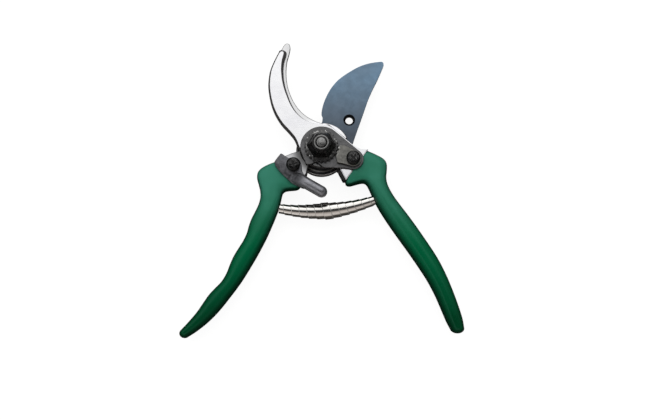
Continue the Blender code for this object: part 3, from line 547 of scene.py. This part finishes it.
LEFT_INNER = [(-12.9, -22.8), (-13.5, -24.6), (-15.6, -25.7), (-19.2, -26.0), (-22.2, -26.6), (-23.9, -28.2),
              (-24.7, -31.3), (-25.4, -34.7), (-26.4, -38.5), (-28.4, -44.0), (-30.7, -49.7),
              (-32.9, -54.9), (-35.2, -59.7), (-37.6, -64.4), (-40.1, -69.1), (-42.8, -73.8),
              (-45.6, -78.6), (-48.6, -83.4), (-51.9, -88.2), (-55.6, -93.2), (-59.7, -98.6),
              (-64.2, -103.9), (-69.4, -109.0), (-75.4, -113.8), (-80.6, -117.2)]


def ease(t):
    """A smooth step from 0 to 1."""
    t = max(0.0, min(1.0, t))
    return t * t * (3 - 2 * t)


def grip_half(t):
    """Half the thickness of a grip, t of the way along it."""
    front, middle, end = GRIP_HALF
    start, full = GRIP_RISE
    if t < full:
        return front + (middle - front) * ease((t - start) / (full - start))
    return middle + (end - middle) * ((t - full) / (1 - full)) ** 2


def grip_section(o, i, t, inset=0.0):
    """One section of a grip: flat-topped at the front, a round oval further down."""
    outer, inner = Vector(o), Vector(i)
    centre = (outer + inner) / 2
    along = (inner - outer).normalized()
    wide = (inner - outer).length / 2 - inset - GRIP_SHY
    tall = grip_half(t) - inset
    power, more, reach = GRIP_POWERS
    power += more * (1 - ease(t / reach))
    ring = []
    for k in range(GRIP_SIDES):
        a = 2 * math.pi * k / GRIP_SIDES
        u = math.copysign(abs(math.cos(a)) ** (2 / power), math.cos(a))
        w = math.copysign(abs(math.sin(a)) ** (2 / power), math.sin(a))
        p = centre + along * wide * u
        ring.append((p.x, p.y, GRIP_MID_Z + tall * w))
    return ring


def make_grip(name, outer, inner, body, node):
    """A dipped sleeve: a short hollow mouth with a rounded rim, the grip itself and a round end."""
    pairs = list(zip(curve(outer, GRIP_STEPS), curve(inner, GRIP_STEPS)))
    last = len(pairs) - 1
    rings = [grip_section(o, i, k / last) for k, (o, i) in enumerate(pairs)]
    insets = (GRIP_WALL, GRIP_WALL - GRIP_LIP * 0.3, GRIP_LIP, GRIP_RIM)
    front = [grip_section(*pairs[0], 0.0, inset) for inset in insets]
    step_in = [grip_section(*pairs[GRIP_MOUTH_DEPTH], GRIP_MOUTH_DEPTH / last, GRIP_WALL)]
    tail = [Vector(p) for p in rings[-1]]
    before = [Vector(p) for p in rings[-2]]
    centre = sum(tail, Vector()) / len(tail)
    along = (centre - sum(before, Vector()) / len(before)).normalized()
    for degrees in GRIP_TAIL_ANGLES:
        a = math.radians(degrees)
        rings.append([tuple(centre + along * GRIP_CAP * math.sin(a) + (p - centre) * math.cos(a))
                      for p in tail])
    grip = skin(name, step_in + front + rings, "green_vinyl", smooth=60)
    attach(grip, body)
    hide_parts(node)


# =================================================================================================
# nut and bolt
# =================================================================================================
NUT_TEETH = 24
TOOTH_MEAN_R = 10.15
TOOTH_DEPTH = 0.42
ROUND_SIDES = NUT_TEETH * 8
BORE_R = 3.42


def polar_ring(radius, z):
    """A ring about the pivot; radius is a length, or a function of the angle."""
    ring = []
    for k in range(ROUND_SIDES):
        a = 2 * math.pi * k / ROUND_SIDES
        r = radius(a) if callable(radius) else radius
        ring.append((r * math.cos(a), r * math.sin(a), z))
    return ring


def toothed(inset):
    """The flange's toothed rim, moved inwards."""
    return lambda a: TOOTH_MEAN_R + TOOTH_DEPTH * math.cos(NUT_TEETH * a) - inset


def six_sided(flats, corner):
    """A hexagon with its corners rounded off at a radius, and a flat towards -Y."""
    sixth = math.pi / 3
    return lambda a: min(flats / 2 / math.cos(a % sixth - sixth / 2), corner)


def make_nut():
    """The toothed flange, the tapered hexagon and the collar, in one skin."""
    nut = skin("nut", [polar_ring(*level) for level in (
        (toothed(0.25), 18.1), (toothed(0.05), 18.25), (toothed(0.0), 18.5), (toothed(0.0), 19.85),
        (toothed(0.07), 20.1), (toothed(0.28), 20.2), (9.3, 20.22), (9.0, 20.3),
        (six_sided(15.9, 8.9), 20.55), (six_sided(15.5, 8.6), 21.0), (six_sided(13.2, 7.2), 24.4),
        (six_sided(12.0, 6.45), 26.1), (six_sided(11.4, 6.0), 26.6), (5.3, 26.8), (4.95, 26.75),
        (4.8, 26.9), (4.75, 27.6), (4.6, 27.95), (4.3, 28.1), (3.9, 28.08), (3.6, 27.9), (BORE_R, 27.6),
        (BORE_R, 18.1))], "black_steel", loop=True, smooth=35)
    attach(nut, "hook_side")
    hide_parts("pivot_nut")


def make_bolt():
    """The bolt, from its round head to the end turned down for the nut's collar."""
    bolt = skin("bolt", [polar_ring(*level) for level in (
        (7.2, 0.0), (7.9, 0.1), (8.4, 0.4), (8.6, 0.8), (8.6, 2.4), (8.45, 2.6), (4.0, 2.6), (4.0, 25.8),
        (3.0, 25.9), (3.0, 28.15), (2.85, 28.5), (2.5, 28.7), (2.1, 28.72), (1.9, 28.8))],
        "black_steel", smooth=35)
    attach(bolt, "hook_side")
    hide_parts("pivot_bolt")


# =================================================================================================
# latch
# =================================================================================================
PLATE_LOW, PLATE_TOP = 16.2, 17.8
LATCH_EDGE = [(-8.0, 7.4), (-11.3, 3.0), (-11.7, 1.6), (-11.0, -0.6), (-8.3, -4.3), (-4.1, -8.5),
              (-1.0, -11.4), (3.2, -13.7), (6.6, -15.0), (8.4, -13.6), (9.0, -11.0), (7.6, -7.2),
              (5.6, -4.0), (5.0, 0.4), (3.4, 3.6), (0.4, 5.0), (-3.2, 4.7), (-6.9, 7.2)]
LATCH_HOLE_R = 2.4
ROD_START, ROD_END = (-15.2, -20.2), (0.0, -29.1)
ROD_HALF = 3.6
ROD_RISE = 5.0
ROD_EDGE = 0.9
ROD_SIDES = 36
ROD_POWERS = (0.9, 0.95)      # roundness of the rod's section, across and upwards
ROD_FOOT = 0.8                # width of its underside, as a share of its width
ROD_FREE = 5.0                # beyond this distance the rod hangs free of the plate
ROD_LOW, ROD_SUNK = 0.25, -0.5    # its underside from the plate's top, where free and where not
# Distance along the rod, and shares of its full width and height.
ROD_STATIONS = [(-4.6, 0.45, -0.02), (-3.0, 0.72, 0.08), (-1.4, 0.90, 0.24), (0.2, 1.02, 0.44),
                (1.8, 1.06, 0.64), (3.6, 1.06, 0.82), (5.6, 1.03, 0.94), (8.0, 1.0, 0.99), (10.0, 1.0, 1.0)]
ROD_CAP_ANGLES = (0.15, 0.3, 0.45, 0.6, 0.75, 0.9, 1.05, 1.2, 1.32, 1.44)    # radians
# Inset and height above the plate's underside, round its rim.
PLATE_RIM = [(0.35, 0.0), (0.08, 0.1), (0.0, 0.35), (0.0, 1.1), (0.12, 1.42), (0.42, 1.6)]


def inwards(outline, distance):
    """Moves each point of an anticlockwise outline inwards."""
    out = []
    for a, b, c in zip(outline[-1:] + outline[:-1], outline, outline[1:] + outline[:1]):
        u, v = (Vector(b) - Vector(a)).normalized(), (Vector(c) - Vector(b)).normalized()
        n = Vector((-(u.y + v.y), u.x + v.x)).normalized()
        out.append(tuple(Vector(b) + n * distance / max(0.5, n.dot(Vector((-u.y, u.x))))))
    return out


def make_latch_plate():
    """The latch's plate, with a rounded rim and the hole for its screw."""
    px, py = LATCH_PIVOT
    edge = [(px + x, py + y) for x, y in curve(LATCH_EDGE + LATCH_EDGE[:1], 5)[:-1]]
    hole = []
    for x, y in edge:
        a = math.atan2(y - py, x - px)
        hole.append((px + LATCH_HOLE_R * math.cos(a), py + LATCH_HOLE_R * math.sin(a)))
    rings = [[p + (PLATE_LOW,) for p in hole]]
    for inset, rise in PLATE_RIM:
        rings.append([p + (PLATE_LOW + rise,) for p in inwards(edge, inset)])
    rings.append([p + (PLATE_TOP,) for p in hole])
    return skin("latch_plate", rings, "latch_plate", loop=True, smooth=50)


def make_latch_rod():
    """The finger rod: it rises out of the plate and ends in a half sphere."""
    start, end = Vector(ROD_START), Vector(ROD_END)
    reach = (end - start).length
    along = (end - start) / reach
    across = Vector((-along.y, along.x))
    stations = curve(ROD_STATIONS + [(reach, 1.0, 1.0)], 4)
    stations += [(reach + ROD_HALF * math.sin(a), math.cos(a), 0.25 + 0.75 * math.cos(a))
                 for a in ROD_CAP_ANGLES]
    across_power, up_power = ROD_POWERS
    rings = []
    for s, width, height in stations:
        ring = []
        for k in range(ROD_SIDES + 1):
            a = math.pi * k / ROD_SIDES
            u = math.copysign(abs(math.cos(a)) ** across_power, math.cos(a)) * ROD_HALF * width
            p = start + along * s + across * u
            rise = ROD_EDGE + (ROD_RISE - ROD_EDGE) * math.sin(a) ** up_power
            ring.append((p.x, p.y, PLATE_TOP - 0.1 + height * rise))
        for side in (-ROD_FOOT, ROD_FOOT):
            p = start + along * s + across * side * ROD_HALF * width
            ring.append((p.x, p.y, PLATE_TOP + (ROD_LOW if s > ROD_FREE else ROD_SUNK)))
        rings.append(ring)
    return skin("latch_rod", rings, "latch_rod", smooth=60)


def make_latch():
    """The latch's plate and rod, which turn together."""
    for piece in (make_latch_plate(), make_latch_rod()):
        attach(piece, "latch")
        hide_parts("thumb_latch")


# =================================================================================================
# land round the blade's hub
# =================================================================================================
LAND_START, LAND_END = -146.0, 8.0      # degrees
LAND_INNER, LAND_OUTER = 13.7, 14.5
LAND_LOW, LAND_HIGH = 10.6, 10.98
LAND_CHAMFER = 0.15
LAND_STEPS = 60


def make_hub_land():
    """A turned land that stands on the blade's hub, seen below the catch plate."""
    section = [(LAND_INNER, LAND_LOW), (LAND_INNER, LAND_HIGH - LAND_CHAMFER),
               (LAND_INNER + LAND_CHAMFER, LAND_HIGH), (LAND_OUTER - LAND_CHAMFER, LAND_HIGH),
               (LAND_OUTER, LAND_HIGH - LAND_CHAMFER), (LAND_OUTER, LAND_LOW)]
    rings = []
    for k in range(LAND_STEPS + 1):
        a = math.radians(LAND_START + (LAND_END - LAND_START) * k / LAND_STEPS)
        rings.append([(r * math.cos(a), r * math.sin(a), z) for r, z in section])
    land = skin("hub_land", rings, "keeper_plate", smooth=30)
    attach(land, "blade_side")


# =================================================================================================
# volute spring
# =================================================================================================
SPRING_LEFT = (-26.1, -37.8)
SPRING_MIDDLE = (3.2, -39.2)
SPRING_RIGHT = (32.7, -32.4)
SPRING_END_R = 2.9
SPRING_MID_R = 5.35
SPRING_TURNS = 6       # turns of strip on each side of the middle
SEAM = 0.022           # share of a turn over which one strip steps down to the next
SPRING_WALL = 0.45
SPRING_TAPER = 0.9
SPRING_SIDES = 54
SPRING_LENGTHWISE = 520


def spring_axis(t):
    """A point on the spring's bowed centre line, t from 0 at the left to 1 at the right."""
    a, m, b = Vector(SPRING_LEFT), Vector(SPRING_MIDDLE), Vector(SPRING_RIGHT)
    control = 2 * m - (a + b) / 2
    p = a * (1 - t) ** 2 + control * 2 * t * (1 - t) + b * t ** 2
    return Vector((p.x, p.y, GRIP_MID_Z))


def spring_side(t):
    """The level direction across the spring."""
    step = 0.004
    return (spring_axis(t + step) - spring_axis(t - step)).normalized().cross(Vector((0, 0, 1)))


def spring_radius(t, turn):
    """The volute's outside: strips of even radius that telescope into each other in a helix."""
    wound = abs(t - 0.5) * 2 * SPRING_TURNS
    wound += turn if t > 0.5 else 1 - turn
    strip = math.floor(wound) + ease((wound % 1 - 1 + SEAM) / SEAM)
    share = max(0.0, min(1.0, strip / SPRING_TURNS))
    return SPRING_MID_R + (SPRING_END_R - SPRING_MID_R) * share ** SPRING_TAPER


def make_spring():
    """One stepped tube, tied to both handles, and swung with them by its angle about the pivot."""
    outside, inside = [], []
    for k in range(SPRING_LENGTHWISE + 1):
        t = k / SPRING_LENGTHWISE
        middle, out = spring_axis(t), spring_side(t)
        for rings, wall in ((outside, 0.0), (inside, SPRING_WALL)):
            ring = []
            for m in range(SPRING_SIDES):
                turn = m / SPRING_SIDES
                a = 2 * math.pi * turn - math.pi / 2
                r = spring_radius(t, turn) - wall
                ring.append(tuple(middle + r * (math.cos(a) * out + math.sin(a) * Vector((0, 0, 1)))))
            rings.append(ring)
    spring = skin("volute", outside + inside[::-1], "spring_steel", loop=True, smooth=50)
    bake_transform(spring, "hook_side", "blade_side", start=spring_axis(1.0) * MM, end=spring_axis(0.0) * MM)
    start, end = (math.atan2(-p[1], -p[0]) for p in (SPRING_RIGHT, SPRING_LEFT))
    weights = spring.data.attributes["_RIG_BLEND"].data
    for v, w in zip(spring.data.vertices, weights):
        here = math.atan2(-v.co.y, -v.co.x)
        w.value = max(0.0, min(1.0, (here - start) / (end - start)))
    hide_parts("volute_spring")


# =================================================================================================
# stage
# =================================================================================================
FLOOR_SIZE = 6.0       # metres, like the next
FLOOR_DROP = 0.0004    # keeps the floor clear of the bolt's head
FLOOR_GLOW = 0.91
STRIP = 0.75           # light from a strip on the left, for the streaks along the grips
FRONT = 0.36           # warm light from in front
FRONT_WARMTH = (1.0, 0.90, 0.84)
# Directions are given by their slopes y / z and x / z, or by their height z: where a light begins,
# where it is full, and its strength at either if it isn't 0 and 1.
BANK_SLOPE, BANK_HEIGHT = (0.10, 0.27), (0.10, 0.35)
BANK_TOWARDS_HORIZON = (0.45, 1.6, 1.03, 1.45)
BANK_ASIDE = (0.30, 0.85, 1.0, 0.10)
STRIP_NEAR, STRIP_FAR = (-0.42, -0.68), (-1.35, -1.00)
BAND_LOW, BAND_HIGH = (0.10, 0.28), (0.80, 0.55)
FRONT_SLOPE, FRONT_HEIGHT = (-0.42, -0.72, 0.0, FRONT), (-0.02, 0.08)
FRONT_ASIDE = (0.30, 0.60, 1.0, 0.0)
FILL_TOWARDS_JAWS = (-0.7, 0.7, 0.3, 1.7)
LOWEST = 0.05          # directions below this height count as this high
BAND = 0.19            # faint light all round, low down
FILL = 0.25            # overhead light that only dull surfaces gather
DIM = 0.045            # light from everywhere else


def make_stage():
    """A white table. Only the camera sees its glow, so it doesn't wash the object out from below."""
    mesh = bpy.data.meshes.new("floor")
    e = FLOOR_SIZE
    mesh.from_pydata([(-e, -e, 0), (e, -e, 0), (e, e, 0), (-e, e, 0)], [], [(0, 1, 2, 3)])
    floor = bpy.data.objects.new("floor", mesh)
    floor.location.z = -FLOOR_DROP
    bpy.context.scene.collection.objects.link(floor)
    s = Shader("floor", 0.9)
    seen = s.nodes.new("ShaderNodeLightPath").outputs["Is Camera Ray"]
    s.colour(s.mix(seen, (0.09, 0.085, 0.08), (0.25, 0.25, 0.25)))
    s.out.inputs["Specular IOR Level"].default_value = 0.0
    s.out.inputs["Emission Color"].default_value = (1, 1, 1, 1)
    s.links.new(s.math("MULTIPLY", seen, FLOOR_GLOW), s.out.inputs["Emission Strength"])
    mesh.materials.append(s.material)


def make_light():
    """Soft studio light: a bright bank beyond the jaws, dark overhead, a faint warm fill in front."""
    world = bpy.data.worlds.new("studio")
    bpy.context.scene.world = world
    world.use_nodes = True
    g = Graph(world.node_tree)
    direction = g.nodes.new("ShaderNodeSeparateXYZ")
    g.links.new(g.nodes.new("ShaderNodeTexCoord").outputs["Generated"], direction.inputs[0])
    x, y, z = direction.outputs
    height = g.math("MAXIMUM", z, LOWEST)
    slope, side = g.math("DIVIDE", y, height), g.math("DIVIDE", x, height)

    bank = g.math("MULTIPLY", g.spread(slope, *BANK_SLOPE), g.spread(z, *BANK_HEIGHT))
    bank = g.math("MULTIPLY", bank, g.spread(slope, *BANK_TOWARDS_HORIZON))
    bank = g.math("MULTIPLY", bank, g.spread(g.math("ABSOLUTE", side, 0), *BANK_ASIDE))
    strip = g.math("MULTIPLY", g.spread(side, *STRIP_NEAR), g.spread(side, *STRIP_FAR))
    bank = g.math("MAXIMUM", bank, g.math("MULTIPLY", strip, STRIP))
    band = g.math("MULTIPLY", g.spread(z, *BAND_LOW), g.spread(z, *BAND_HIGH))
    bank = g.math("MAXIMUM", bank, g.math("MULTIPLY", band, BAND))

    front = g.math("MULTIPLY", g.spread(slope, *FRONT_SLOPE), g.spread(z, *FRONT_HEIGHT))
    front = g.math("MULTIPLY", front, g.spread(g.math("ABSOLUTE", x, 0), *FRONT_ASIDE))

    path = g.nodes.new("ShaderNodeLightPath").outputs
    fill = g.math("MULTIPLY", path["Is Diffuse Ray"], g.spread(z, -0.1, 0.9, 0.0, FILL))
    fill = g.math("MULTIPLY", fill, g.spread(y, *FILL_TOWARDS_JAWS))
    bank = g.math("ADD", bank, fill)

    seen = path["Is Camera Ray"]
    unseen = g.math("SUBTRACT", 1.0, seen)
    colour = g.nodes.new("ShaderNodeCombineColor")
    for socket, warmth in zip(colour.inputs, FRONT_WARMTH):
        lit = g.math("ADD", g.math("ADD", bank, DIM), g.math("MULTIPLY", front, warmth))
        g.links.new(g.math("ADD", g.math("MULTIPLY", lit, unseen), seen), socket)
    g.links.new(colour.outputs[0], g.nodes["Background"].inputs["Color"])


SENSOR = 36.0
LENS = 54.01
TILT = math.radians(12.0)
TARGET = Vector((0.00069, -0.03914, 0.012))
DISTANCE = 0.6


def make_camera():
    """Looks almost straight down at the table."""
    camera = bpy.data.cameras.new("camera")
    camera.sensor_width = SENSOR
    camera.lens = LENS
    obj = bpy.data.objects.new("camera", camera)
    obj.location = TARGET + DISTANCE * Vector((0, -math.sin(TILT), math.cos(TILT)))
    obj.rotation_euler = (TILT, 0, 0)
    bpy.context.scene.collection.objects.link(obj)
    bpy.context.scene.camera = obj
    bpy.context.scene.view_settings.view_transform = "Standard"


make_camera()
make_stage()
make_light()
dress_nodes()
make_grip("grip_right", RIGHT_OUTER, RIGHT_INNER, "hook_side", "right_grip")
make_grip("grip_left", LEFT_OUTER, LEFT_INNER, "blade_side", "left_grip")
make_nut()
make_bolt()
make_hub_land()
make_latch()
make_spring()
